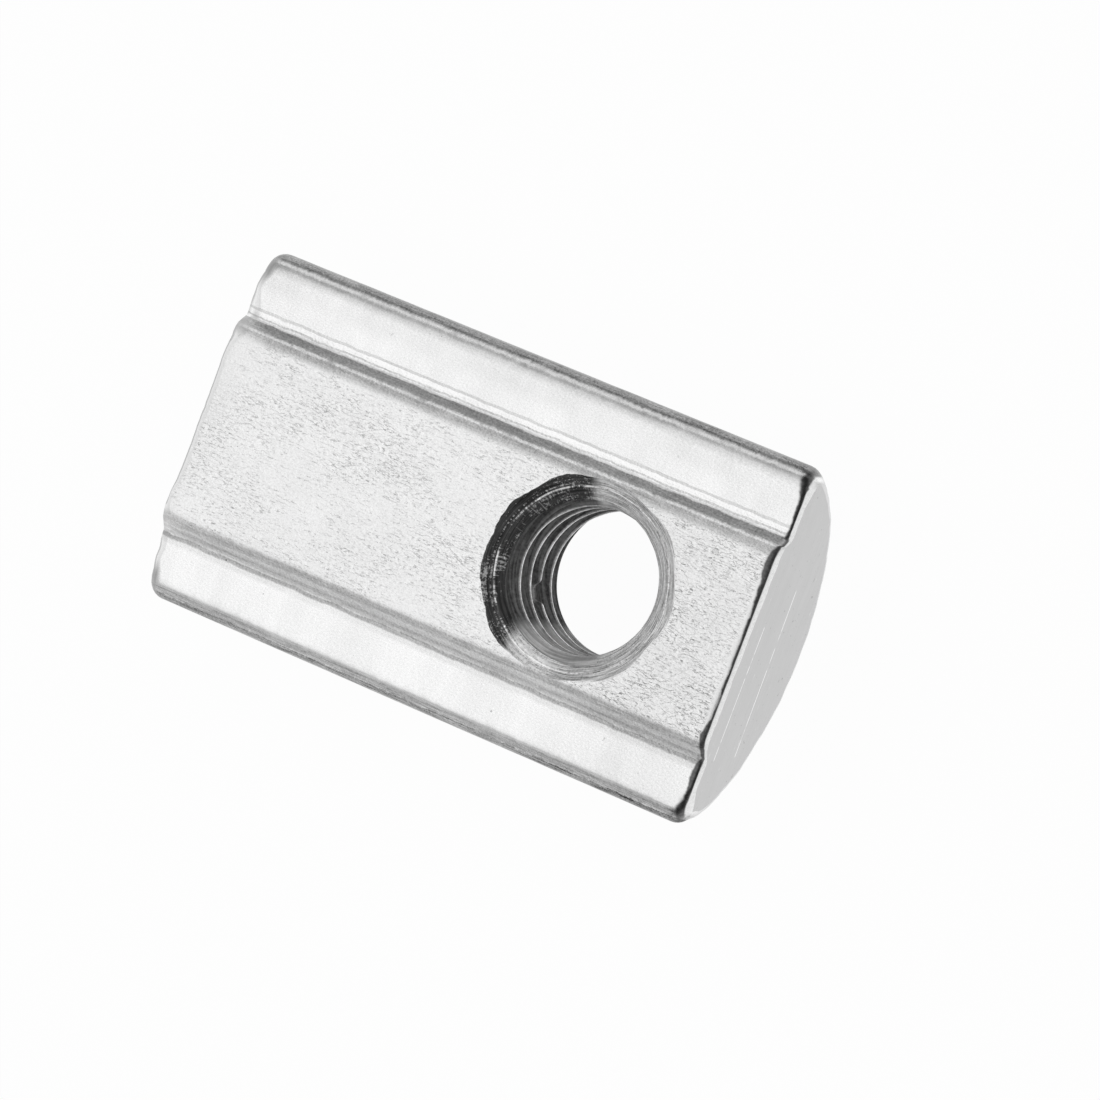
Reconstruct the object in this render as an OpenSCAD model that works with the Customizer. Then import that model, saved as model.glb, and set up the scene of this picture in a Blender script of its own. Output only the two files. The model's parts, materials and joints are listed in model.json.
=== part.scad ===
// Half-round T-slot nut with one threaded hole near its end.
// The long axis lies along X, the raised guide rib faces +Z, and the lowest
// line of the round back touches Z = 0. The origin is under the middle of
// the nut's length and width.

/* [Body] */
// Length of the nut along the slot
nut_length = 23; // [20:0.1:40]
// Width across both wings
nut_width = 13.6; // [12.6:0.1:15.5]
// Height from the lowest line of the back to the top of the rib
nut_height = 6.6; // [5.4:0.1:8]
// Radius of the long outer edge of each wing
wing_edge_r = 0.8; // [0.5:0.05:1.1]
// Rounding of the edges around both end faces
end_edge_r = 0.4; // [0.1:0.05:0.4]
// Radius of the nut's four corners seen from above
corner_r = 0.7; // [0.5:0.05:1]

/* [Guide rib] */
// Width of the rib at half its height, which fits the slot's opening
rib_width = 8; // [7.4:0.1:9]
// Height of the rib above the wings
rib_height = 0.6; // [0.5:0.05:1.2]
// Slope of the rib's side walls, in degrees from the wings
rib_wall_angle = 52; // [45:1:75]
// Radius of the rib's long top edges
rib_top_r = 0.35; // [0.1:0.05:0.5]
// Radius of the fillet between the rib and the wings
rib_root_r = 0.2; // [0.05:0.05:0.3]

/* [Threaded hole] */
// Distance of the hole's axis from the middle of the length
hole_offset = 4.8; // [0:0.1:6]
// Diameter of the drilled core, which the thread is cut into
core_d = 5.4; // [4:0.05:5.6]
// Diameter of the countersink where it meets the top of the rib
mouth_d = 7.4; // [6.8:0.1:7.6]
// Depth of the countersink's first stage, down to the ledge
ledge_depth = 0.3; // [0.1:0.05:0.4]
// Width of the ledge between the countersink's two stages
ledge_w = 0.08; // [0.02:0.01:0.15]
// Full angle of both countersink cones
sink_angle = 90; // [80:1:110]
// Diameter of the exit chamfer at the height of the back's lowest line
exit_d = 8.7; // [6:0.1:9.2]

/* [Hidden] */
$fn = 96;
// Extra length of a cutting shape beyond the surface it cuts
over = 1;
// Overlap that joins the body's shapes to each other
lap = 0.3;
// Offset that lets a corner's rounding meet the end and the side at a slight angle
corner_ease = 0.02;

// Height of the wings' flat faces
wing_z = nut_height - rib_height;
// Centre of the rounded outer edge of a wing
edge_y = nut_width / 2 - wing_edge_r;
edge_z = wing_z - wing_edge_r;
// Radius of the round back, which runs smoothly into both outer edges
back_r = (edge_y * edge_y + edge_z * edge_z - wing_edge_r * wing_edge_r) / (2 * (edge_z - wing_edge_r));
// Direction from the back's centre to the edge's centre, in degrees from straight down
edge_turn = atan(edge_y / (back_r - edge_z));
// Line where the back runs into the outer edge
join_y = edge_y + wing_edge_r * sin(edge_turn);
join_z = edge_z - wing_edge_r * cos(edge_turn);

// Sideways run of a rib wall over half the rib's height
wall_run = rib_height / 2 / tan(rib_wall_angle);
// Half widths of the rib where its sharp walls would meet its top and the wings
rib_top_y = rib_width / 2 - wall_run;
rib_foot_y = rib_width / 2 + wall_run;
// Length that each rounding takes from the flat beside it
top_take = rib_top_r * tan(rib_wall_angle / 2);
root_take = rib_root_r * tan(rib_wall_angle / 2);
// Depth that the rib is sunk into the body below it
rib_root_depth = 1;

core_r = core_d / 2;
// Radii on both sides of the countersink's ledge
ledge_outer_r = mouth_d / 2 - ledge_depth * tan(sink_angle / 2);
ledge_inner_r = ledge_outer_r - ledge_w;
// Depth at which the second cone has narrowed to the core
sink_depth = ledge_depth + (ledge_inner_r - core_r) / tan(sink_angle / 2);
// Height of the chamfer at the exit, which is cut at 45 degrees
exit_depth = exit_d / 2 - core_r;

// Quarter of a disc, in the quadrant that side_x and side_y give as -1 or 1
module quarter_disc(radius, side_x, side_y) {
    intersection() {
        circle(r = radius);
        translate([min(side_x, 0) * 2 * radius, min(side_y, 0) * 2 * radius]) square(2 * radius);
    }
}

// Half of a bar's outline for turning: its radius and length, with both outer corners rounded
module bar_outline(radius, length, corner) {
    inner = length / 2 - corner;
    translate([0, -length / 2]) square([radius - corner, length]);
    translate([radius - corner, -inner]) square([corner, 2 * inner]);
    for (side = [-1, 1])
        translate([radius - corner, side * inner]) quarter_disc(corner, 1, side);
}

// Turned bar along X with rounded ends
module turned_bar(radius) {
    rotate([0, 90, 0])
        rotate_extrude($fn = 180)
            bar_outline(radius, nut_length, end_edge_r);
}

// Prism along X over a polygon drawn in Y and Z
module prism_x(points, length) {
    rotate([90, 0, 90])
        linear_extrude(height = length, center = true)
            polygon(points);
}

// Block wider than the nut, whose two end edges at the top are rounded
module rounded_ends(z_top) {
    inner = nut_length / 2 - end_edge_r;
    shoulder = z_top - end_edge_r;
    rotate([90, 0, 0])
        linear_extrude(height = nut_width + 2 * over, center = true) {
            translate([-nut_length / 2, -over]) square([nut_length, shoulder + over]);
            translate([-inner, shoulder]) square([2 * inner, end_edge_r]);
            for (side = [-1, 1])
                translate([side * inner, shoulder]) quarter_disc(end_edge_r, side, 1);
        }
}

// Block higher than the nut, whose four upright corners are rounded
module rounded_corners() {
    half_x = nut_length / 2 + corner_ease;
    half_y = nut_width / 2 + corner_ease;
    inner_x = half_x - corner_r;
    inner_y = half_y - corner_r;
    translate([0, 0, -over])
        linear_extrude(height = nut_height + 2 * over) {
            translate([-half_x, -inner_y]) square([2 * half_x, 2 * inner_y]);
            translate([-inner_x, -half_y]) square([2 * inner_x, 2 * half_y]);
            for (side_x = [-1, 1], side_y = [-1, 1])
                translate([side_x * inner_x, side_y * inner_y]) quarter_disc(corner_r, side_x, side_y);
        }
}

// Round back, between the two lines that point from its centre to the edges' centres
module back() {
    low_y = (back_r + over) * tan(edge_turn);
    intersection() {
        translate([0, 0, back_r]) turned_bar(back_r);
        prism_x([
            [-edge_y, edge_z],
            [-low_y, -over],
            [low_y, -over],
            [edge_y, edge_z]
        ], nut_length + 2 * over);
    }
}

// Shape drawn on the +Y side, and its mirror image on the other side
module both_sides() {
    children();
    mirror([0, 1, 0]) children();
}

// Rounded outer edge of one wing, from the line where the back joins it up to the wing's flat
module wing_edge() {
    inner_y = edge_y - lap;
    inner_z = edge_z - lap;
    reach = 2 * wing_edge_r;
    intersection() {
        translate([0, edge_y, edge_z])
            rotate([0, 90, 0]) cylinder(r = wing_edge_r, h = nut_length, center = true);
        prism_x([
            [inner_y, inner_z],
            [2 * join_y - inner_y, 2 * join_z - inner_z],
            [edge_y + reach, edge_z + reach],
            [inner_y, edge_z + reach]
        ], nut_length + 2 * over);
    }
}

// Flat slab between the two outer edges, up to the wings' flats
module wings() {
    translate([-nut_length / 2, -edge_y, edge_z - lap])
        cube([nut_length, 2 * edge_y, wing_edge_r + lap]);
}

// Right half of the rib's cross-section, with a rounded top edge and a filleted root
module rib_half_section() {
    flat_y = rib_top_y - top_take;
    fillet_y = rib_foot_y + root_take;
    difference() {
        polygon([
            [0, wing_z - rib_root_depth],
            [fillet_y, wing_z - rib_root_depth],
            [fillet_y, wing_z],
            [rib_foot_y - root_take * cos(rib_wall_angle), wing_z + root_take * sin(rib_wall_angle)],
            [rib_top_y, nut_height],
            [0, nut_height]
        ]);
        translate([fillet_y, wing_z + rib_root_r]) circle(r = rib_root_r);
        difference() {
            polygon([
                [flat_y, nut_height],
                [rib_top_y + top_take * cos(rib_wall_angle), nut_height - top_take * sin(rib_wall_angle)],
                [rib_top_y + over, nut_height + over],
                [flat_y, nut_height + over]
            ]);
            translate([flat_y, nut_height - rib_top_r]) circle(r = rib_top_r);
        }
    }
}

// Raised rib along the whole nut, with rounded top end edges
module rib() {
    intersection() {
        both_sides()
            rotate([90, 0, 90]) linear_extrude(height = nut_length, center = true) rib_half_section();
        rounded_ends(nut_height);
    }
}

// Countersunk through hole, as the shape that it removes
module hole_cutter() {
    translate([hole_offset, 0, 0])
        rotate_extrude()
            polygon([
                [0, -over],
                [exit_d / 2 + over, -over],
                [core_r, exit_depth],
                [core_r, nut_height - sink_depth],
                [ledge_inner_r, nut_height - ledge_depth],
                [ledge_outer_r, nut_height - ledge_depth],
                [mouth_d / 2 + over * tan(sink_angle / 2), nut_height + over],
                [0, nut_height + over]
            ]);
}

// Nut without its rib and hole
module body() {
    intersection() {
        union() {
            back();
            both_sides() wing_edge();
            wings();
        }
        rounded_ends(wing_z);
        rounded_corners();
    }
}

module t_slot_nut() {
    color([0.86, 0.87, 0.88])
        difference() {
            union() {
                body();
                rib();
            }
            hole_cutter();
        }
}

t_slot_nut();
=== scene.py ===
"""Half-round slot nut of plated steel, lying on its round back.

The script is in metres, in the CAD part's own frame: +X runs along the nut towards the end with
the hole, +Y across it, and +Z up out of the guide rib. The near end is the one with the hole, and
the far end is the other. One mesh stands for the whole nut. Its body is a drawn bar's outline swept
along X, and the threaded hole is cut out of it with three cutters. The functions that dress a
surface get its place in millimetres and return its grey, roughness, relief and metallic share.
"""

import json
import math

import bpy
import numpy as np
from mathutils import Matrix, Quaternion, Vector, noise


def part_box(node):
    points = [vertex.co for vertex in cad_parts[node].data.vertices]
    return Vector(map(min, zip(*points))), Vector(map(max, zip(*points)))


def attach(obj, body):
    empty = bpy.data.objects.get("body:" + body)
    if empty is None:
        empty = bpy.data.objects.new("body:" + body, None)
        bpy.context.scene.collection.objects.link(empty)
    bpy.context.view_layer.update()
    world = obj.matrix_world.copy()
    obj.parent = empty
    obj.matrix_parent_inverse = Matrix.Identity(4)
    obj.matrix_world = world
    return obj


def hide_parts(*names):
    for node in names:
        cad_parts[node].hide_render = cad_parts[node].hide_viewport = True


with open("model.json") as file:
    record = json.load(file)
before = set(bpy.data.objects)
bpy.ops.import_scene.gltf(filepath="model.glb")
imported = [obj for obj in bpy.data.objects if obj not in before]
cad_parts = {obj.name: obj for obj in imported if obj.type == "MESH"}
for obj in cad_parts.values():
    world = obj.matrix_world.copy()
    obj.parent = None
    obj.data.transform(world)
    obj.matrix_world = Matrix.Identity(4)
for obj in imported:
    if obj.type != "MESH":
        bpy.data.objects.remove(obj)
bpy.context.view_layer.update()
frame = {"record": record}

MM = 0.001

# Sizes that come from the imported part
low_corner, high_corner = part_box("t_slot_nut")
mounts = {mount["name"]: mount for mount in frame["record"]["mounts"]}
HALF_LENGTH = high_corner.x
HALF_WIDTH = high_corner.y
TOP_Z = high_corner.z
WING_Z = mounts["wing_face_plus_y"]["pos_m"][2]
HOLE_X = mounts["thread"]["pos_m"][0]
CREST_R = mounts["thread"]["dims"]["r_mm"] * MM

# Body
EDGE_R = 0.8 * MM
RIB_FLAT_Y = 3.30 * MM
RIB_SHOULDER_Y = 3.76 * MM
RIB_SHOULDER_DROP = 0.11 * MM
RIB_CREASE_Y = 3.84 * MM
RIB_CREASE_DROP = 0.15 * MM
RIB_WALL_Y = {1: 4.08 * MM, -1: 4.20 * MM}
RIB_WALL_DROP = 0.50 * MM
RIB_ROOT_Y = {1: 4.28 * MM, -1: 4.42 * MM}
WING_LINE_Y = 4.56 * MM
WING_SHOULDER_Y = 5.6 * MM
WING_EDGE_Y = 6.25 * MM
WING_EDGE_DROP = 0.085 * MM
ARC_STEPS = 8
BACK_STEPS = 32
STATION_STEP = 0.12 * MM

# Rounded ends
ROUNDING_STEPS = 7
ROUNDING_REACH = 1.25 * MM
END_R = 0.40 * MM
CORNER_EXTRA_R = 0.30 * MM
LARGEST_END_R = 0.68 * MM
CAP_MIDDLE_Z = 4.2 * MM

# Places in the mesh's list of materials
PLATING, END_FACE, SINK, EXIT, THREAD = range(5)

# Bands along the nut on each side, painted reflections and shade of the rib's shoulder, walls and
# wing edges: how far out in millimetres each starts, how soft its start is, and its grey. They begin
# on the rib's shoulder and end on the wing's outer edge.
BANDS = {
    1: (
        (3.44, 0.16, 0.50),
        (3.70, 0.06, 0.66),
        (3.86, 0.05, 0.46),
        (4.14, 0.02, 0.92),
        (4.24, 0.02, 0.64),
        (4.31, 0.02, 0.97),
        (4.50, 0.02, 0.68),
        (4.61, 0.02, 0.89),
        (5.30, 0.30, 0.84),
        (6.08, 0.20, 0.62),
        (6.36, 0.06, 1.00),
        (6.52, 0.06, 0.30),
    ),
    -1: (
        (3.64, 0.09, 0.66),
        (3.90, 0.04, 0.84),
        (4.08, 0.03, 0.70),
        (4.18, 0.03, 0.90),
        (4.33, 0.03, 0.46),
        (4.49, 0.04, 0.82),
        (4.70, 0.08, 0.92),
        (6.25, 0.05, 0.76),
        (6.34, 0.02, 0.54),
        (6.44, 0.02, 0.60),
        (6.55, 0.03, 0.18),
    ),
}

# Places where the painted dark reflection along the near end is wider or narrower: their Y and their
# reach along Y in millimetres, and how much further up the rounding the line starts
END_REFLECTION_WIDTHS = (
    (6.10, 0.45, 0.22),
    (5.20, 0.55, 0.08),
    (3.10, 0.70, 0.30),
    (2.20, 0.70, 0.10),
    (-2.10, 0.60, -0.14),
    (-3.50, 0.60, 0.32),
    (-5.00, 0.70, 0.38),
    (-6.25, 0.35, 0.22),
)

# Long scratches on the near end's face, as the Y and Z of both their ends in millimetres
END_SCRATCHES = (
    ((2.40, 3.30), (-4.10, 3.05)),
    ((0.90, 5.10), (-4.30, 5.05)),
)

# Hole. One crest of the thread is broken at the break's angle and height.
PITCH = 1.0 * MM
ROOT_R = 3.05 * MM
MOUTH_R = 3.7 * MM
LEDGE_DEPTH = 0.3 * MM
LEDGE_OUTER_R = 3.4 * MM
LEDGE_INNER_R = 3.32 * MM
EXIT_DEPTH = 1.65 * MM
CREST_HEIGHT = 5.31 * MM
BREAK_ANGLE = math.radians(208)
BREAK_HEIGHT = 3.42 * MM

# Camera, fitted to the photograph
CAMERA_AIM = Vector((0.7, -0.3, -0.3)) * MM
CAMERA_DISTANCE = 200.5 * MM
CAMERA_AZIMUTH = 13.56
CAMERA_ELEVATION = 67.9
CAMERA_ROLL = -81.76
FRAME_PIXELS = 1100
FOCAL_PIXELS = 5408.7
CENTRE_PIXEL = (548.0, 556.0)
SENSOR_MM = 36.0


class Number:
    """A number inside a shader, so that shader maths reads as plain expressions."""

    def __init__(self, shader, socket):
        self.shader = shader
        self.socket = socket

    def maths(self, operation, *values):
        settings = {"operation": operation}
        return self.shader.number("ShaderNodeMath", settings, dict(enumerate(values)))

    def __add__(self, other):
        return self.maths("ADD", self, other)

    __radd__ = __add__

    def __sub__(self, other):
        return self.maths("SUBTRACT", self, other)

    def __rsub__(self, other):
        return self.maths("SUBTRACT", other, self)

    def __mul__(self, other):
        return self.maths("MULTIPLY", self, other)

    def __truediv__(self, other):
        return self.maths("DIVIDE", self, other)

    def __pow__(self, other):
        return self.maths("POWER", self, other)

    def __abs__(self):
        return self.maths("ABSOLUTE", self)

    def at_least(self, other):
        return self.maths("MAXIMUM", self, other)

    def at_most(self, other):
        return self.maths("MINIMUM", self, other)


class Shader:
    """The node tree of a material or of the world."""

    def __init__(self, owner):
        owner.use_nodes = True
        self.tree = owner.node_tree
        self.tree.nodes.clear()

    def node(self, kind, settings=None, inputs=None):
        """Adds a node, sets it up, and gives its sockets their values or links."""
        node = self.tree.nodes.new(kind)
        for name, value in (settings or {}).items():
            setattr(node, name, value)
        for name, value in (inputs or {}).items():
            if isinstance(value, Number):
                value = value.socket
            if isinstance(value, bpy.types.NodeSocket):
                self.tree.links.new(value, node.inputs[name])
            else:
                node.inputs[name].default_value = value
        return node

    def number(self, kind, settings=None, inputs=None, output=0):
        return Number(self, self.node(kind, settings, inputs).outputs[output])

    def ramp(self, value, start, end):
        """0 below start and 1 above end, with a smooth step between them."""
        inputs = {"Value": value, "From Min": start, "From Max": end}
        return self.number("ShaderNodeMapRange", {"interpolation_type": "SMOOTHSTEP"}, inputs)

    def cloud(self, point, detail=2.0, roughness=0.5):
        """Soft noise around 0.5 at a point, whose three numbers set how fine it is along each axis."""
        vector = self.node("ShaderNodeCombineXYZ", None, dict(zip("XYZ", point))).outputs[0]
        inputs = {"Vector": vector, "Scale": 1.0, "Detail": detail, "Roughness": roughness}
        return self.number("ShaderNodeTexNoise", None, inputs, "Fac")

    def grey(self, value):
        inputs = {"Red": value, "Green": value, "Blue": value}
        return self.node("ShaderNodeCombineColor", None, inputs).outputs[0]

    def mix(self, factor, first, second):
        """The first value where the factor is 0, and the second where it is 1."""
        return first + (second - first) * factor

    def coordinates(self, kind):
        """The three numbers of one of Blender's texture coordinates."""
        vector = self.node("ShaderNodeTexCoord").outputs[kind]
        split = self.node("ShaderNodeSeparateXYZ", None, {"Vector": vector})
        return [Number(self, socket) for socket in split.outputs]

    def place(self):
        """X, Y and Z of the surface in millimetres, in the part's own frame."""
        return [number / MM for number in self.coordinates("Object")]


def steel(name, dress):
    """Bare or plated steel whose grey, roughness, relief and metallic share come from dress."""
    material = bpy.data.materials.new(name)
    shader = Shader(material)
    grey, roughness, height, metallic = dress(shader, *shader.place())
    bump = shader.node(
        "ShaderNodeBump",
        None,
        {"Strength": 1.0, "Distance": 0.01 * MM, "Height": height},
    )
    surface = shader.node(
        "ShaderNodeBsdfPrincipled",
        None,
        {
            "Base Color": shader.grey(grey),
            "Metallic": metallic,
            "Roughness": roughness,
            "Normal": bump.outputs[0],
        },
    )
    shader.node("ShaderNodeOutputMaterial", None, {"Surface": surface.outputs[0]})
    return material


def banded(shader, x, place, first_grey, bands):
    """Grey along one side of the nut in bands of painted reflection and shade, where each band replaces the
    one before it.

    Each band fades and strengthens along the nut in its own way.
    """
    grey = first_grey
    for number, (start, softness, band_grey) in enumerate(bands):
        drift = shader.cloud((x * 0.55, number * 3.7, start), 3.0, 0.6) - 0.5
        shifted = place + drift * 0.10
        own_grey = drift * 0.24 + band_grey
        grey = shader.mix(shader.ramp(shifted, start - softness, start + softness), grey, own_grey)
    return grey


def relief(shader, x, y, z, scale, detail):
    """Painted light and dark sides of fine relief, also used as its height: a soft noise less the same noise
    a little further on.
    """
    here = (x * scale, y * scale, z * scale)
    beyond = (x * scale + 0.32, y * scale + 0.22, z * scale)
    return shader.cloud(here, detail, 0.7) - shader.cloud(beyond, detail, 0.7)


def squiggles(shader, x, y, z, seed, width):
    """Short thin curls: the places where a soft noise passes through its middle."""
    cloud = shader.cloud((x * 2.7 + seed, y * 9.0, z * 4.2), 2.0, 0.6)
    return 1 - shader.ramp(abs(cloud - 0.5), width * 0.3, width)


def rib_surface(shader, x, y, z, grain, near_end, even):
    """The rib's flat: its grey, its pits and glints, and how crowded their rows are."""
    density = shader.cloud((x * 0.22, y * 0.35, 0.0), 2.0)
    rows = shader.cloud((x * 1.1, y * 12.0, 3.0), 2.0)
    crowd = shader.ramp(rows * 0.6 + density * 0.4, 0.40, 0.62)
    pits = squiggles(shader, x, y, z, 0.0, 0.040) * (crowd * 0.9 + near_end * 0.35) * even
    glints = squiggles(shader, x, y, z, 0.35, 0.034) * crowd
    specks = shader.ramp(grain, 0.64, 0.72)
    dashes = shader.ramp(shader.cloud((x * 2.2, y * 17.0, 8.0), 2.0, 0.6), 0.58, 0.68)
    dashes = dashes * shader.ramp(crowd * 0.5 + density * 0.5, 0.35, 0.60) * even
    grey = 0.88 - pits * 0.42 - dashes * 0.24 + glints * 0.12 - specks * even * 0.26
    return grey, pits, glints, crowd


def painted_end_reflection(shader, y, z, tilt, top):
    """1 on the painted dark reflection along the near end's rounding, whose width changes across the nut."""
    start = 0.56 - (shader.cloud((2.0, y * 1.6, z * 1.1), 3.0, 0.6) - 0.5) * 0.5
    for middle, reach, change in END_REFLECTION_WIDTHS:
        start = start - (1 - shader.ramp(abs(y - middle) / reach, 0.0, 1.4)) * change
    start = start.at_least(0.16)
    return shader.ramp(tilt - start, -0.10, 0.10) * (1 - shader.ramp(tilt, 0.76, 0.84)) * top


def painted_rim_shading(shader, grey, tilt, side, wall, top, mottle):
    """The grey with painted shade on the far end's rounded edges, and a painted highlight on the near end's
    outermost rim.
    """
    far_rim = (1 - shader.ramp(tilt, -0.76, -0.52)) * top
    grey = shader.mix(far_rim * 0.75, grey, 0.26)
    far_corner = (1 - shader.ramp(tilt, -0.44, -0.10)) * shader.ramp(side, 5.3, 6.0) * top
    grey = shader.mix(far_corner * 0.8, grey, 0.26)
    far_wall = (1 - shader.ramp(tilt, -0.5, -0.1)) * wall
    grey = shader.mix(far_wall * 0.6, grey, 0.42)
    bright_rim = shader.ramp(tilt, 0.80, 0.88) * top
    return shader.mix(bright_rim, grey, 0.80 + (mottle - 0.5) * 0.5)


def dress_body(shader, x, y, z):
    """Bright plating: pitted on the rib's flat, streaked across the wings, with painted reflections and
    shade banded along both sides and on both ends.
    """
    # Each is 1 on its own part of the body and 0 elsewhere. The tilt is how far a place faces along X.
    side = abs(y)
    rib_flat = (1 - shader.ramp(side, 3.35, 3.7)) * shader.ramp(z, 6.35, 6.5)
    wall = shader.ramp(side, 3.4, 3.7) * (1 - shader.ramp(side, 4.3, 4.6)) * shader.ramp(z, 5.8, 5.95)
    edge = shader.ramp(side, 6.2, 6.4)
    shoulder = 1 - shader.ramp(side, 3.9, 4.1)
    top = shader.ramp(z, 5.2, 5.6)
    back = 1 - shader.ramp(z, 4.2, 5.3)
    plus_side = shader.ramp(y, -0.1, 0.1)
    near_end = shader.ramp(x, 4.0, 9.0)
    tilt = shader.coordinates("Normal")[0]
    even = 1 - shader.ramp(abs(tilt), 0.1, 0.4)

    # Noise for the texture, and for the lines that wander along the nut
    bump_height_and_shading = relief(shader, x * 0.75, y, z, 10.0, 4.0)
    grain = shader.cloud((x * 9.0, y * 13.0, z * 9.0), 3.0, 0.7)
    dust = shader.cloud((x * 17.0, y * 21.0, z * 17.0), 1.0)
    across = shader.cloud((x * 13.0, y * 1.8, 5.0), 3.0, 0.6)
    mottle = shader.cloud((x * 2.5, y * 9.0, z * 9.0), 4.0, 0.7)
    strokes = shader.cloud((x * 0.8, y * 17.0, z * 17.0), 3.0, 0.7)
    haze = shader.cloud((x * 0.5, y * 0.7, z * 0.7), 3.0)
    wander = (shader.cloud((x * 1.3, y * 0.8, 0.0), 4.0, 0.65) - 0.5) * 0.14
    ragged = (shader.cloud((x * 4.2, 1.0, 4.0), 5.0, 0.8) - 0.5) * 0.26
    broken = shader.ramp(shader.cloud((x * 1.6, 7.0, 2.0), 3.0, 0.7), 0.38, 0.52)

    # Greys from the rib out to both edges, with the bands of painted reflection and shade
    rib_grey, pits, glints, crowd = rib_surface(shader, x, y, z, grain, near_end, even)
    place = side + wander + ragged * (shader.ramp(side, 5.8, 6.2) * 0.8 + shoulder * 0.4)
    place = place - shoulder * (1 - plus_side) * shader.ramp(x, -6.0, -11.3) * 0.16
    upper_grey = banded(shader, x, place, rib_grey, BANDS[1])
    lower_grey = banded(shader, x, place, rib_grey, BANDS[-1])
    grey = shader.mix(plus_side, lower_grey, upper_grey)
    faded = shader.ramp(x, -9.6, -10.9) * (1 - shader.ramp(side + wander, 3.64, 3.76)) * plus_side
    grey = shader.mix(faded * 0.7, grey, 0.86)

    # Painted highlights along the rib's crease and the outer edges, and painted light along the lower outer
    # edge
    painted_crease_highlight = 1 - shader.ramp(abs(side + ragged + wander * 0.5 - 3.80), 0.02, 0.07)
    painted_crease_highlight = painted_crease_highlight * broken * plus_side * top
    grey = shader.mix(painted_crease_highlight * 0.85, grey, 0.95)
    painted_edge_highlight = 1 - shader.ramp(abs(side + ragged - 6.43), 0.02, 0.08)
    painted_edge_highlight = painted_edge_highlight * broken * (plus_side * 0.7 + 0.3) * top
    outer_light = shader.ramp(side + wander, 6.15, 6.30) * (1 - plus_side) * top
    grey = grey + outer_light * (0.10 + (strokes - 0.5) * 0.7)
    grey = shader.mix(painted_edge_highlight * 0.7, grey, 0.95)

    # Texture over all of it with the painted light and shade of its relief, darker towards the near end,
    # then the back painted darker as shade, painted shade and highlights on both ends, and a few nicks
    # Painted light and shade of the fine relief, strongest on the walls and edges
    bump_shading_strength = rib_flat * (crowd * 0.30 - 0.02) + near_end * 0.10 + wall * 0.5 + edge * 0.3 + 0.22
    grey = grey + bump_height_and_shading * bump_shading_strength * top * (even * 0.8 + 0.2)
    grey = grey + (across - 0.5) * 0.08 * (1 - rib_flat) + (grain - 0.5) * 0.16 + (dust - 0.5) * 0.32 * even
    grey = grey - near_end * (rib_flat * 0.05 + (1 - rib_flat) * (1 - plus_side) * 0.08)
    grey = grey + ((mottle - 0.5) * 0.30 + (strokes - 0.5) * 0.45) * (wall + edge)
    # The round back is painted darker as shade
    grey = shader.mix(back, grey, 0.74 + (mottle - 0.5) * 0.16)
    grey = grey + (haze - 0.5) * 0.10
    # Painted shade on the far end's rims and a painted highlight on the near end's outermost rim
    grey = painted_rim_shading(shader, grey, tilt, side, wall, top, mottle)
    nicks = shader.ramp(shader.cloud((x * 3.3, y * 3.3, 9.0), 3.0, 0.6), 0.715, 0.74)
    grey = grey - nicks * 0.35 * top
    # Painted dark reflection along the near end's rounding
    line = painted_end_reflection(shader, y, z, tilt, top)
    grey = shader.mix(line, grey, 0.13 + (mottle - 0.5) * 0.2)

    roughness = 0.24 + rib_flat * 0.10 + wall * 0.12 + back * 0.08 + (mottle - 0.5) * 0.08
    height = (across - 0.5) * 0.07 * (1 - rib_flat) - rib_flat * pits * 0.3 + bump_height_and_shading * rib_flat * 0.6
    height = height + rib_flat * glints * 0.2 + wall * (mottle - 0.5) * 0.9 - line * 0.5
    metallic = 1 - painted_crease_highlight.at_least(painted_edge_highlight) * 0.7
    return grey, roughness, height, metallic


def scratch_line(shader, y, z, start, end, wander):
    """1 along a thin straight scratch between two places on an end face."""
    run = Vector(end) - Vector(start)
    along = ((y - start[0]) * run.x + (z - start[1]) * run.y) / run.length_squared
    offset = ((y - start[0]) * run.y - (z - start[1]) * run.x) / run.length
    inside = shader.ramp(along, 0.0, 0.02) * (1 - shader.ramp(along, 0.98, 1.0))
    return (1 - shader.ramp(abs(offset), 0.015 + wander, 0.045 + wander)) * inside


def dress_end(shader, x, y, z):
    """Sawn end face: an even grey, with a few long thin scratches across the near end."""
    lines = shader.cloud((y * 0.10, z * 9.0, x), 3.0, 0.6)
    broken = shader.cloud((y * 1.6, z * 0.4, 6.0), 3.0, 0.7)
    mottle = shader.cloud((y * 1.5, z * 1.5, x), 3.0)
    specks = shader.ramp(shader.cloud((y * 8.0, z * 8.0, x), 2.0), 0.70, 0.76)
    nicks = shader.ramp(shader.cloud((y * 2.2, z * 4.5, x + 3.0), 3.0, 0.6), 0.70, 0.74)
    grey = 0.59 + (lines - 0.5) * 0.08 + (mottle - 0.5) * 0.07 - specks * 0.2 - nicks * 0.25
    chips = shader.cloud((y * 1.8, z * 9.0, x + 6.0), 3.0, 0.7)
    grey = grey + shader.ramp(chips, 0.66, 0.72) * 0.16
    for start, end in END_SCRATCHES:
        scratch = scratch_line(shader, y, z, start, end, (broken - 0.5) * 0.03)
        grey = grey + scratch * shader.ramp(broken, 0.36, 0.52) * shader.ramp(x, 0.0, 1.0) * 0.35
    roughness = 0.34 + (mottle - 0.5) * 0.06
    height = (lines - 0.5) * 0.3
    return grey, roughness, height, 1.0


def around_hole(shader, x, y):
    """Distance from the hole's axis in millimetres, and the cosine and sine of the angle around it."""
    across = x - HOLE_X / MM
    reach = (across * across + y * y) ** 0.5
    return reach, across / reach, y / reach


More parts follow.
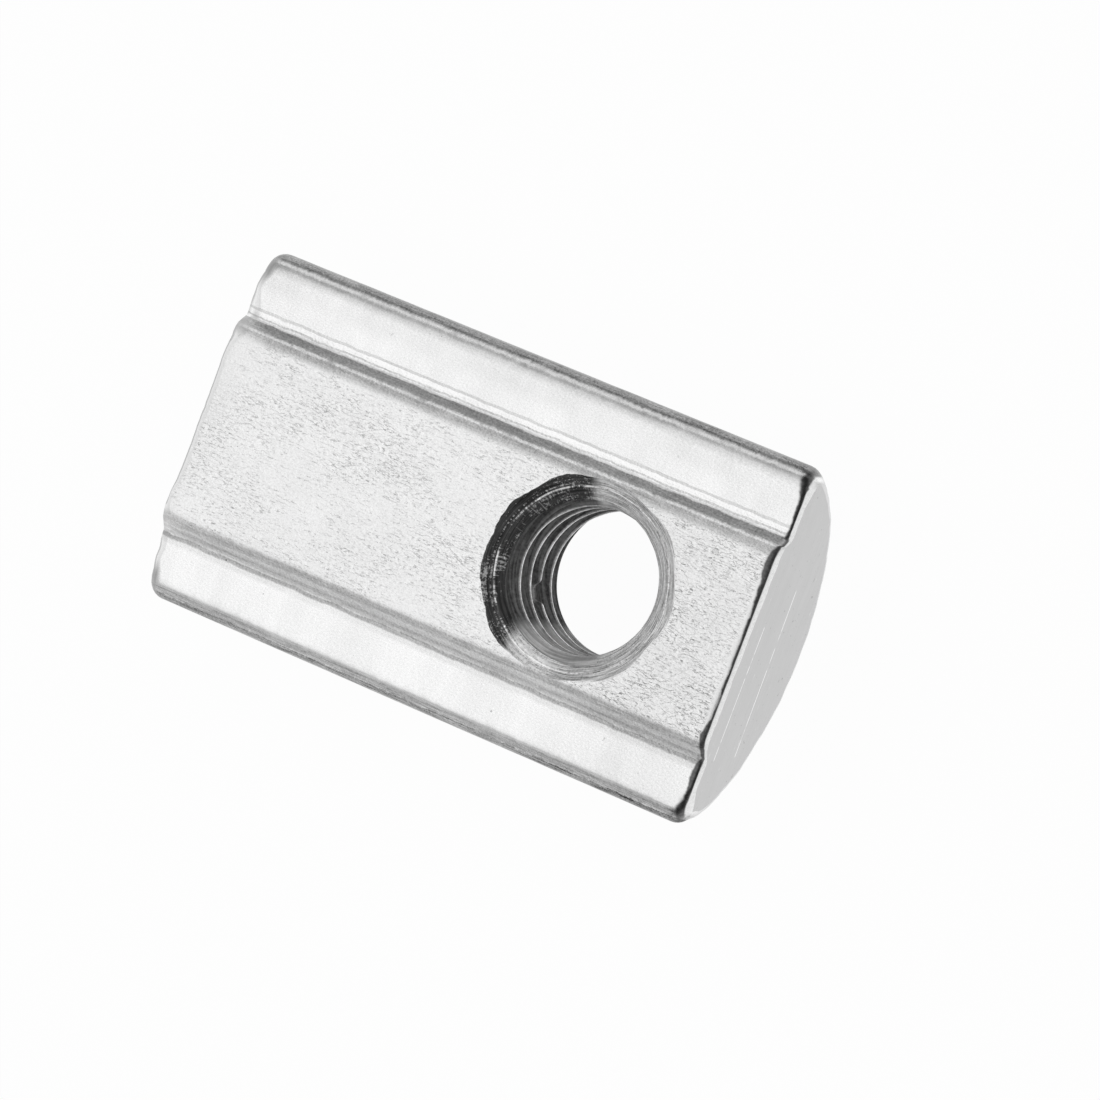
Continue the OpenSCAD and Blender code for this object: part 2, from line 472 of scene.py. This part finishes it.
def painted_dark_side(shader, cosine, sine, wander):
    """1 where the hole's cut surface is painted dark as a dark reflection, on the side that is turned away
    from the near end.
    """
    upper = shader.ramp(cosine * -0.982 + sine * -0.191 + wander, -0.05, 0.10)
    lower = shader.ramp(cosine * -0.946 + sine * 0.326 + wander * 2.4, 0.08, 0.28)
    return upper * lower


def dress_sink(shader, x, y, z):
    """Countersink: rings left by the tool, and a side painted dark as a dark reflection, with fine bright
    scratches.
    """
    reach, cosine, sine = around_hole(shader, x, y)

    # Rings and hair run around the hole, and ticks and teeth run across them
    rings = shader.cloud((cosine * 1.6, sine * 1.6, reach * 15.0), 4.0, 0.8)
    lines = shader.ramp(rings, 0.38, 0.62)
    ticks = shader.cloud((cosine * 34.0, sine * 34.0, reach * 12.0), 3.0, 0.8)
    teeth = shader.cloud((cosine * 34.0, sine * 34.0, reach * 1.5), 3.0, 0.8)
    broad = shader.cloud((cosine * 2.2, sine * 2.2, reach * 1.5), 3.0, 0.6)
    hair = shader.cloud((cosine * 4.0, sine * 4.0, reach * 36.0), 2.0, 0.6)

    # Silver is a painted bright reflection beside the lower end of the painted dark side
    painted_bright_reflection = shader.ramp(sine * -0.8 + cosine * -0.6, 0.60, 0.95)
    fine_lines = shader.ramp(ticks * 0.6 + rings * 0.4 + (broad - 0.5) * 0.40, 0.55, 0.62)
    marks = shader.ramp(teeth + (broad - 0.5) * 0.8, 0.58, 0.70)
    wander = (ticks - 0.5) * 0.10 + (broad - 0.5) * 0.12 + (hair - 0.5) * 0.12 + (reach - 3.5) * 0.08
    dark = painted_dark_side(shader, cosine, sine, wander)
    # The ledge and the twin line beside it are painted highlights on the dark side; on the bright side the
    # ledge is painted darker
    ledge = shader.ramp(reach, 3.29, 3.33) * (1 - shader.ramp(reach, 3.36, 3.40))
    ledge = ledge * shader.ramp(teeth * 0.4 + broad * 0.6, 0.47, 0.54)
    twin = 1 - shader.ramp(abs(reach + (broad - 0.5) * 0.08 - 3.46), 0.01, 0.03)
    twin = twin * shader.ramp(teeth, 0.50, 0.58)
    marks = marks * (1 - shader.ramp(reach, 3.25, 3.45))
    bright_grey = 0.27 + lines * 0.36 + shader.ramp(hair, 0.38, 0.62) * 0.42 + (ticks - 0.5) * 0.9
    bright_grey = bright_grey + painted_bright_reflection * (0.34 + (ticks - 0.5) * 1.2) - ledge * 0.25
    dark_grey = 0.030 + lines * 0.07 + fine_lines * 0.50 + marks * 0.34 + ledge * 0.55 + twin * 0.45
    grey = shader.mix(dark, bright_grey, dark_grey)
    metallic = 0.30 + dark * 0.45
    roughness = 0.34 + (rings - 0.5) * 0.1
    height = (rings - 0.5) * 1.4 + (ticks - 0.5) * 0.6
    return grey, roughness, height, metallic


def dress_exit(shader, x, y, z):
    """Plain turned chamfer under the nut, with faint rings."""
    reach, cosine, sine = around_hole(shader, x, y)
    rings = shader.cloud((cosine * 1.6, sine * 1.6, reach * 15.0), 4.0, 0.8)
    return 0.62 + (rings - 0.5) * 0.2, 0.34 + (rings - 0.5) * 0.1, rings - 0.5, 1.0


def dress_thread(shader, x, y, z):
    """Thread: grooves painted darker as shade, darkest on the painted dark side, between crests painted
    bright as highlights.
    """
    reach, cosine, sine = around_hole(shader, x, y)
    crest = 1 - shader.ramp(reach, CREST_R / MM + 0.01, CREST_R / MM + 0.06)
    rings = shader.cloud((cosine * 1.2, sine * 1.2, z * 12.0), 3.0, 0.6)
    lines = shader.ramp(rings, 0.36, 0.64)
    ticks = shader.cloud((cosine * 22.0, sine * 22.0, z * 9.0), 3.0, 0.7)
    worn = shader.cloud((cosine * 3.0, sine * 3.0, z * 1.1), 3.0, 0.6)
    dark = painted_dark_side(shader, cosine, sine, (rings - 0.5) * 0.1 - 0.05)
    groove_grey = shader.mix(dark, 0.40 + lines * 0.45, 0.075 + lines * 0.15) + (ticks - 0.5) * 0.28
    # The crests are painted bright as highlights, made uneven by the ticks and worn noises
    crest_grey = 0.76 + (ticks - 0.5) * 1.3 + (worn - 0.5) * 1.6
    grey = shader.mix(crest, groove_grey, crest_grey)
    metallic = 0.45 + crest * 0.3
    roughness = 0.34 - crest * 0.06
    height = (rings - 0.5) * 0.8
    return grey, roughness, height, metallic


def heading(degrees):
    """Direction in the YZ plane, turned up from the Y axis."""
    return Vector((math.cos(math.radians(degrees)), math.sin(math.radians(degrees))))


def bend(start, start_slope, end, end_slope, steps):
    """Points of a smooth bend after start, up to end. Slopes are headings in degrees in the YZ plane."""
    first = heading(start_slope)
    last = heading(end_slope)
    gap = Vector(end) - Vector(start)
    reach = (gap.x * last.y - gap.y * last.x) / (first.x * last.y - first.y * last.x)
    corner = Vector(start) + first * reach
    points = []
    for step in range(1, steps + 1):
        t = step / steps
        points.append(tuple(Vector(start) * (1 - t) ** 2 + corner * 2 * t * (1 - t) + Vector(end) * t * t))
    return points


def straight(start, end, steps):
    """Points of a straight stretch after start, up to end."""
    return [tuple(Vector(start).lerp(Vector(end), step / steps)) for step in range(1, steps + 1)]


def back_radius():
    """Radius of the round back, which touches Z = 0 and runs smoothly into both outer edges."""
    edge_y = HALF_WIDTH - EDGE_R
    edge_z = WING_Z - EDGE_R
    return (edge_y ** 2 + edge_z ** 2 - EDGE_R ** 2) / (2 * (edge_z - EDGE_R))


def half_section(side):
    """One half of the nut's outline, from the middle of the rib down to the lowest line.

    Its points give the distance from the middle and the height. The side is 1 towards +Y, or -1.
    """
    radius = back_radius()
    edge_y = HALF_WIDTH - EDGE_R
    edge_z = WING_Z - EDGE_R
    turn = math.atan2(edge_y, radius - edge_z)
    points = [(0.0, TOP_Z)]
    points += straight(points[-1], (RIB_FLAT_Y, TOP_Z), 14)
    points += bend(points[-1], 0, (RIB_SHOULDER_Y, TOP_Z - RIB_SHOULDER_DROP), -32, 8)
    points += bend(points[-1], -18, (RIB_CREASE_Y, TOP_Z - RIB_CREASE_DROP), -40, 5)
    points += straight(points[-1], (RIB_WALL_Y[side], TOP_Z - RIB_WALL_DROP), 6)
    foot = (RIB_WALL_Y[side] + 0.03 * MM, TOP_Z - RIB_WALL_DROP - 0.03 * MM)
    points += bend(points[-1], -54, foot, -36, 2)
    points += bend(points[-1], -36, (RIB_ROOT_Y[side], WING_Z), 0, 6)
    points += straight(points[-1], (WING_LINE_Y - 0.05 * MM, WING_Z), 2)
    points += bend(points[-1], -8, (WING_LINE_Y + 0.05 * MM, WING_Z), 8, 4)
    points += straight(points[-1], (WING_SHOULDER_Y, WING_Z), 7)
    points += bend(points[-1], 0, (WING_EDGE_Y, WING_Z - WING_EDGE_DROP), -22, 8)
    points += bend(points[-1], -26, (HALF_WIDTH, edge_z), -90, 10)
    for step in range(1, ARC_STEPS + 1):
        angle = turn + (math.pi / 2 - turn) * (1 - step / ARC_STEPS)
        points.append((edge_y + EDGE_R * math.sin(angle), edge_z - EDGE_R * math.cos(angle)))
    for step in range(1, BACK_STEPS + 1):
        angle = turn * (1 - step / BACK_STEPS)
        points.append((radius * math.sin(angle), radius * (1 - math.cos(angle))))
    return points


def smooth_step(value, start, end):
    """0 at start, 1 at end, and smooth between them."""
    t = np.clip((value - start) / (end - start), 0.0, 1.0)
    return t * t * (3 - 2 * t)


def soft_noise(x, y, z):
    """Smooth noise between -1 and 1 for arrays of places."""
    x, y, z = np.broadcast_arrays(x, y, z)
    flat = [noise.noise(place) for place in zip(x.ravel(), y.ravel(), z.ravel())]
    return np.array(flat).reshape(x.shape)


def outline_with_normals():
    """The whole outline as a closed ring of points, and its outward normals."""
    upper = np.array(half_section(1))
    lower = np.array(half_section(-1))[-2:0:-1] * (-1, 1)
    ring = np.vstack([upper, lower])
    ahead = np.roll(ring, -1, axis=0) - np.roll(ring, 1, axis=0)
    normals = np.stack([-ahead[:, 1], ahead[:, 0]], axis=1)
    return ring, normals / np.linalg.norm(normals, axis=1)[:, None]


def end_rounding(ring, side):
    """Rounding radius of one end along the outline: larger at the corners, and uneven all round.

    The side is 1 at the near end, or -1. The far end stays crisp beside the rib towards -Y.
    """
    y = ring[:, 0]
    z = ring[:, 1]
    corner = smooth_step(np.abs(y), 5.2 * MM, 6.2 * MM)
    below = smooth_step(-z, -5.6 * MM, -4.0 * MM)
    radius = END_R + CORNER_EXTRA_R * corner
    radius = radius * (1 - below) + END_R * below
    if side < 0:
        crisp = smooth_step(-y, 2.2 * MM, 3.2 * MM) * smooth_step(y, -5.2 * MM, -4.4 * MM)
        radius = radius * (1 - 0.65 * crisp)
    uneven = soft_noise(y / MM * 0.9, side * 9.0, z / MM * 0.7)
    uneven = uneven + 0.5 * soft_noise(y / MM * 3.1, side * 5.0, z / MM * 2.0)
    return np.minimum(radius * (1 + 0.28 * uneven), LARGEST_END_R)


def end_retreat(ring):
    """How far the worn shoulders of the rib stand back from the far end."""
    reach = np.abs(ring[:, 0])
    shoulder = smooth_step(reach, 2.8 * MM, 3.8 * MM) * (1 - smooth_step(reach, 4.3 * MM, 5.6 * MM))
    depth = np.where(ring[:, 0] > 0, 0.40 * MM, 0.25 * MM)
    return depth * shoulder * smooth_step(ring[:, 1], WING_Z - 0.5 * MM, WING_Z)


def rounding_directions(ring, normals):
    """Outward directions, against which the ends' rounding draws the outline in.

    They are straight up on the flats, away from the edge's middle on the wing edge's arc, and along
    the normals on the back, so that no two points cross. The arc's last point, 0.3 of its radius
    below its middle, belongs to the back.
    """
    edge_middle = np.array([HALF_WIDTH - EDGE_R, WING_Z - EDGE_R])
    from_middle = np.abs(ring) - edge_middle
    on_flats = (from_middle[:, 0] < 0) & (ring[:, 1] > WING_Z - EDGE_R)
    on_arc = (from_middle[:, 0] >= 0) & (from_middle[:, 1] > -0.28 * EDGE_R)
    outwards = normals.copy()
    outwards[on_flats] = (0.0, 1.0)
    outwards[on_arc] = from_middle[on_arc] / np.linalg.norm(from_middle[on_arc], axis=1)[:, None]
    outwards[on_arc & (ring[:, 0] < 0), 0] *= -1
    return outwards


def end_station(ring, outwards, side, step):
    """X and outline at one step of an end's rounding, from step 0 at its cap up to the full outline."""
    angle = math.pi / 2 * step / ROUNDING_STEPS
    radius = end_rounding(ring, side)
    retreat = end_retreat(ring) * (0.0 if side > 0 else math.cos(angle))
    x = side * (HALF_LENGTH - radius * (1 - math.sin(angle)) - retreat)
    inset = radius * (1 - math.cos(angle))
    return x, ring - outwards * inset[:, None]


def wear_swell(x, ring):
    """How far each point at x stands out of the drawn outline: a little everywhere, more on the edges."""
    y = ring[None, :, 0]
    z = ring[None, :, 1]
    side = np.abs(y)
    on_top = smooth_step(z, WING_Z - 0.9 * MM, WING_Z - 0.3 * MM)
    rib_edge = smooth_step(side, 3.5 * MM, 3.85 * MM) * (1 - smooth_step(side, 3.95 * MM, 4.15 * MM))
    wing_edge = smooth_step(side, 5.7 * MM, 6.2 * MM) * (1 - smooth_step(side, 6.5 * MM, 6.75 * MM)) * on_top
    coarse = soft_noise(x / MM * 0.9, y / MM * 0.6, z / MM * 0.6 + 4.0)
    ragged = soft_noise(x / MM * 3.1, y / MM * 0.9 + 8.0, z / MM * 0.9)
    swell = coarse * 0.006 * MM + (coarse * 0.012 + ragged * 0.022) * MM * rib_edge
    return swell + (coarse * 0.010 + ragged * 0.014) * MM * wing_edge


def body_mesh(materials):
    """The drawn bar with rounded ends, without its hole."""
    ring, normals = outline_with_normals()
    outwards = rounding_directions(ring, normals)
    count = len(ring)
    inner = HALF_LENGTH - ROUNDING_REACH
    middle = int(round(2 * inner / STATION_STEP))
    stations = []
    for step in range(ROUNDING_STEPS, -1, -1):
        stations.append(end_station(ring, outwards, -1, step))
    for step in range(middle + 1):
        stations.append((np.full(count, -inner + 2 * inner * step / middle), ring))
    for step in range(ROUNDING_STEPS + 1):
        stations.append(end_station(ring, outwards, 1, step))

    x = np.array([station[0] for station in stations])
    yz = np.array([station[1] for station in stations])
    yz = yz + normals[None, :, :] * wear_swell(x, ring)[:, :, None]
    places = np.concatenate([x[:, :, None], yz], axis=2).reshape(-1, 3).tolist()
    far_cap = len(places)
    near_cap = far_cap + 1
    places.append((-HALF_LENGTH, 0.0, CAP_MIDDLE_Z))
    places.append((HALF_LENGTH, 0.0, CAP_MIDDLE_Z))

    faces = []
    for first in range(0, far_cap - count, count):
        for column in range(count):
            after = (column + 1) % count
            faces.append((first + column, first + after, first + count + after, first + count + column))
    indices = [PLATING] * len(faces)
    last = far_cap - count
    for column in range(count):
        after = (column + 1) % count
        faces.append((far_cap, after, column))
        faces.append((near_cap, last + column, last + after))
    indices += [END_FACE] * (2 * count)
    mesh = bpy.data.meshes.new("nut_body")
    mesh.from_pydata(places, [], faces)
    finish_mesh(mesh, materials, indices)
    return mesh


def finish_mesh(mesh, materials, indices):
    """Gives a mesh the shared list of materials, and each face its own."""
    for material in materials:
        mesh.materials.append(material)
    mesh.polygons.foreach_set("material_index", indices)
    mesh.validate()
    mesh.update()


def turned_cutter(name, rings, materials, index):
    """Closed solid round the hole's axis from rings of points, each ring a list of (radius, z) by angle."""
    steps = len(rings[0])
    angles = [math.tau * step / steps for step in range(steps)]
    places = [(HOLE_X, 0.0, rings[0][0][1])]
    for ring in rings:
        for angle, (radius, z) in zip(angles, ring):
            places.append((HOLE_X + radius * math.cos(angle), radius * math.sin(angle), z))
    places.append((HOLE_X, 0.0, rings[-1][0][1]))
    last = len(places) - 1
    faces = []
    for step in range(steps):
        after = (step + 1) % steps
        faces.append((0, 1 + after, 1 + step))
        for row in range(len(rings) - 1):
            base = 1 + row * steps
            faces.append((base + step, base + after, base + steps + after, base + steps + step))
        base = 1 + (len(rings) - 1) * steps
        faces.append((base + step, base + after, last))
    mesh = bpy.data.meshes.new(name)
    mesh.from_pydata(places, [], faces)
    finish_mesh(mesh, materials, [index] * len(faces))
    return bpy.data.objects.new(name, mesh)


def sink_cutter(materials):
    """Countersink in two stages, with a rim that is most uneven on the dark side."""
    steps = 288
    crest_z = TOP_Z - LEDGE_DEPTH - (LEDGE_INNER_R - CREST_R)

    def rim_swell(angle):
        """How far the rim wanders outwards at an angle around the hole."""
        dark = max(0.0, math.cos(angle - math.radians(165))) ** 0.5
        lobes = 0.5 + 0.5 * math.cos(9 * angle + 0.6)
        slow = noise.noise((math.cos(angle) * 1.3, math.sin(angle) * 1.3, 2.0))
        fine = noise.noise((math.cos(angle) * 16.0, math.sin(angle) * 16.0, 5.0))
        swell = dark * (0.10 * lobes - 0.04) + (1 - dark) * 0.06 * math.cos(8 * angle)
        return (swell + 0.06 * slow + 0.035 * fine * (0.4 + dark)) * MM

    def ledge_swell(angle):
        """How far the ledge wanders outwards at an angle around the hole."""
        fine = noise.noise((math.cos(angle) * 7.0, math.sin(angle) * 7.0, 11.0))
        return 0.03 * MM * fine

    # Radius and height of each ring, and its shares of the rim's and of the ledge's wandering
    stages = [
        (CREST_R - 0.4 * MM, crest_z - 0.4 * MM, 0.0, 0.0),
        (CREST_R, crest_z, 0.0, 0.3),
        (LEDGE_INNER_R - 0.02 * MM, TOP_Z - LEDGE_DEPTH - 0.02 * MM, 0.0, 1.0),
        (LEDGE_INNER_R + 0.01 * MM, TOP_Z - LEDGE_DEPTH, 0.0, 1.0),
        (LEDGE_OUTER_R - 0.01 * MM, TOP_Z - LEDGE_DEPTH, 0.2, 1.0),
        (LEDGE_OUTER_R + 0.02 * MM, TOP_Z - LEDGE_DEPTH + 0.02 * MM, 0.3, 1.0),
        (MOUTH_R - 0.03 * MM, TOP_Z - 0.035 * MM, 1.0, 0.0),
        (MOUTH_R, TOP_Z - 0.012 * MM, 1.0, 0.0),
        (MOUTH_R + 0.04 * MM, TOP_Z + 0.004 * MM, 1.0, 0.0),
        (MOUTH_R + 0.6 * MM, TOP_Z + 0.6 * MM, 1.0, 0.0),
    ]
    rings = []
    for radius, z, rim_share, ledge_share in stages:
        ring = []
        for step in range(steps):
            angle = math.tau * step / steps
            swell = rim_share * rim_swell(angle) + ledge_share * ledge_swell(angle)
            ring.append((radius + swell, z))
        rings.append(ring)
    return turned_cutter("sink_cutter", rings, materials, SINK)


def exit_cutter(materials):
    """Chamfer where the hole leaves the back, as a cone that passes both ends of the cut."""
    steps = 144
    overlap = 0.8 * MM
    rings = []
    for z in (-overlap, EXIT_DEPTH + overlap):
        rings.append([(CREST_R + EXIT_DEPTH - z, z)] * steps)
    return turned_cutter("exit_cutter", rings, materials, EXIT)


def thread_cutter(materials):
    """Screw that is taken out of the nut: a right-handed helix whose rows follow the thread."""
    steps = 160

    # Where in a turn each row lies, and whether it is at the bottom of the groove
    turn_rows = [(0.0, False), (0.04, False), (0.38, True), (0.62, True), (0.96, False)]
    per_turn = len(turn_rows)
    offset = (CREST_HEIGHT / PITCH - 0.5) % 1.0
    rows = []
    for turn in range(-3, 8):
        for share, in_groove in turn_rows:
            rows.append(((turn + share + offset) * PITCH, in_groove))
    count = len(rows)

    def crest_wear(angle, z):
        """How much of a crest is broken away at a place."""
        along = (angle - BREAK_ANGLE) / 0.12
        up = (z - BREAK_HEIGHT) / (0.35 * MM)
        return 0.30 * MM * math.exp(-along ** 4 - up ** 2)

    places = []
    for step in range(steps):
        angle = math.tau * step / steps
        for start_z, in_groove in rows:
            z = start_z + PITCH * step / steps
            radius = ROOT_R if in_groove else CREST_R + crest_wear(angle, z)
            uneven = noise.noise((math.cos(angle) * 3.0, math.sin(angle) * 3.0, z / MM * 1.4))
            radius += 0.015 * MM * uneven
            places.append((HOLE_X + radius * math.cos(angle), radius * math.sin(angle), z))
    faces = []
    for step in range(steps - 1):
        for row in range(count - 1):
            base = step * count + row
            faces.append((base, base + count, base + count + 1, base + 1))
    seam = (steps - 1) * count
    for row in range(count - 1 - per_turn):
        faces.append((seam + row, row + per_turn, row + per_turn + 1, seam + row + 1))

    # Each end is closed by a fan over the last row and the step that one turn leaves in it
    lower = [step * count for step in range(steps)] + list(range(per_turn, 0, -1))
    upper = [step * count + count - 1 for step in range(steps)]
    upper += [seam + row for row in range(count - 2, count - 2 - per_turn, -1)]
    places.append((HOLE_X, 0.0, rows[0][0]))
    places.append((HOLE_X, 0.0, rows[-1][0]))
    under = len(places) - 2
    over = len(places) - 1
    for place, after in zip(lower, lower[1:] + lower[:1]):
        faces.append((under, after, place))
    for place, after in zip(upper, upper[1:] + upper[:1]):
        faces.append((over, place, after))
    mesh = bpy.data.meshes.new("thread_cutter")
    mesh.from_pydata(places, [], faces)
    finish_mesh(mesh, materials, [THREAD] * len(faces))
    return bpy.data.objects.new("thread_cutter", mesh)


def cut(piece, cutter):
    """Takes the cutter out of the piece, and removes the cutter."""
    bpy.context.scene.collection.objects.link(cutter)
    boolean = piece.modifiers.new("cut", "BOOLEAN")
    boolean.operation = "DIFFERENCE"
    boolean.solver = "MANIFOLD"
    boolean.object = cutter
    bpy.context.view_layer.update()
    evaluated = piece.evaluated_get(bpy.context.evaluated_depsgraph_get())
    mesh = bpy.data.meshes.new_from_object(evaluated)
    piece.modifiers.clear()
    piece.data = mesh
    bpy.data.objects.remove(cutter)


def make_nut():
    """The whole nut as one piece, in place of the CAD solid."""
    materials = [
        steel("bright_plating", dress_body),
        steel("sawn_end", dress_end),
        steel("countersunk_face", dress_sink),
        steel("exit_chamfer", dress_exit),
        steel("tapped_thread", dress_thread),
    ]
    nut = bpy.data.objects.new("slot_nut", body_mesh(materials))
    bpy.context.scene.collection.objects.link(nut)
    for cutter in (thread_cutter(materials), sink_cutter(materials), exit_cutter(materials)):
        cut(nut, cutter)
    nut.data.shade_smooth()
    nut.data.set_sharp_from_angle(angle=math.radians(32))
    for polygon in nut.data.polygons:
        if polygon.material_index == END_FACE:
            polygon.use_smooth = False
    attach(nut, "root")
    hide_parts("t_slot_nut")


def make_floor():
    """Plain pale floor, which the camera and the metal see as nearly white."""
    size = 3.0
    mesh = bpy.data.meshes.new("floor")
    corners = [(-size, -size, 0), (size, -size, 0), (size, size, 0), (-size, size, 0)]
    mesh.from_pydata(corners, [], [(0, 1, 2, 3)])
    material = bpy.data.materials.new("pale_floor")
    shader = Shader(material)
    rays = shader.node("ShaderNodeLightPath").outputs
    camera = Number(shader, rays["Is Camera Ray"])
    glossy = Number(shader, rays["Is Glossy Ray"])
    through = Number(shader, rays["Is Transmission Ray"])
    seen = (camera + glossy + through).at_most(1.0)
    matt = shader.node("ShaderNodeBsdfDiffuse", None, {"Color": (0.9, 0.9, 0.9, 1.0)})
    white = shader.node("ShaderNodeEmission", None, {"Color": (1.0, 1.0, 1.0, 1.0), "Strength": 1.0})
    mixed = shader.node(
        "ShaderNodeMixShader",
        None,
        {0: seen * 0.96, 1: matt.outputs[0], 2: white.outputs[0]},
    )
    shader.node("ShaderNodeOutputMaterial", None, {"Surface": mixed.outputs[0]})
    mesh.materials.append(material)
    floor = bpy.data.objects.new("floor", mesh)
    bpy.context.scene.collection.objects.link(floor)


def make_light():
    """Soft studio light: a white ceiling, grey walls, and a dim side low behind the camera."""
    world = bpy.data.worlds.new("studio")
    bpy.context.scene.world = world
    shader = Shader(world)
    x, _, z = shader.coordinates("Generated")
    ceiling = shader.ramp(z, 0.50, 0.80)
    dim = shader.ramp(x, -0.15, 0.10) * shader.ramp(z, 0.08, 0.2) * (1 - shader.ramp(z, 0.50, 0.68))
    wall = shader.mix(shader.ramp(x, -0.90, -0.65), 0.85, 0.50 - dim * 0.38)
    strength = shader.mix(ceiling, wall, 1.0)
    background = shader.node(
        "ShaderNodeBackground",
        None,
        {"Color": (1.0, 1.0, 1.0, 1.0), "Strength": strength},
    )
    shader.node("ShaderNodeOutputWorld", None, {"Surface": background.outputs[0]})


def make_camera():
    """Camera at the photograph's angle, rolled so that the nut's length falls to the right."""
    azimuth = math.radians(CAMERA_AZIMUTH)
    elevation = math.radians(CAMERA_ELEVATION)
    away = Vector(
        (
            math.cos(elevation) * math.cos(azimuth),
            math.cos(elevation) * math.sin(azimuth),
            math.sin(elevation),
        )
    )
    data = bpy.data.cameras.new("camera")
    data.sensor_width = SENSOR_MM
    data.lens = FOCAL_PIXELS * SENSOR_MM / FRAME_PIXELS
    data.shift_x = (FRAME_PIXELS / 2 - CENTRE_PIXEL[0]) / FRAME_PIXELS
    data.shift_y = (CENTRE_PIXEL[1] - FRAME_PIXELS / 2) / FRAME_PIXELS
    data.clip_start = 0.01
    camera = bpy.data.objects.new("camera", data)
    camera.location = CAMERA_AIM + away * CAMERA_DISTANCE
    level = away.to_track_quat("Z", "Y")
    roll = Quaternion((0.0, 0.0, 1.0), math.radians(CAMERA_ROLL))
    camera.rotation_mode = "QUATERNION"
    camera.rotation_quaternion = level @ roll
    bpy.context.scene.collection.objects.link(camera)
    bpy.context.scene.camera = camera


make_camera()
make_light()
make_floor()
make_nut()

bpy.context.scene.view_settings.view_transform = "Standard"
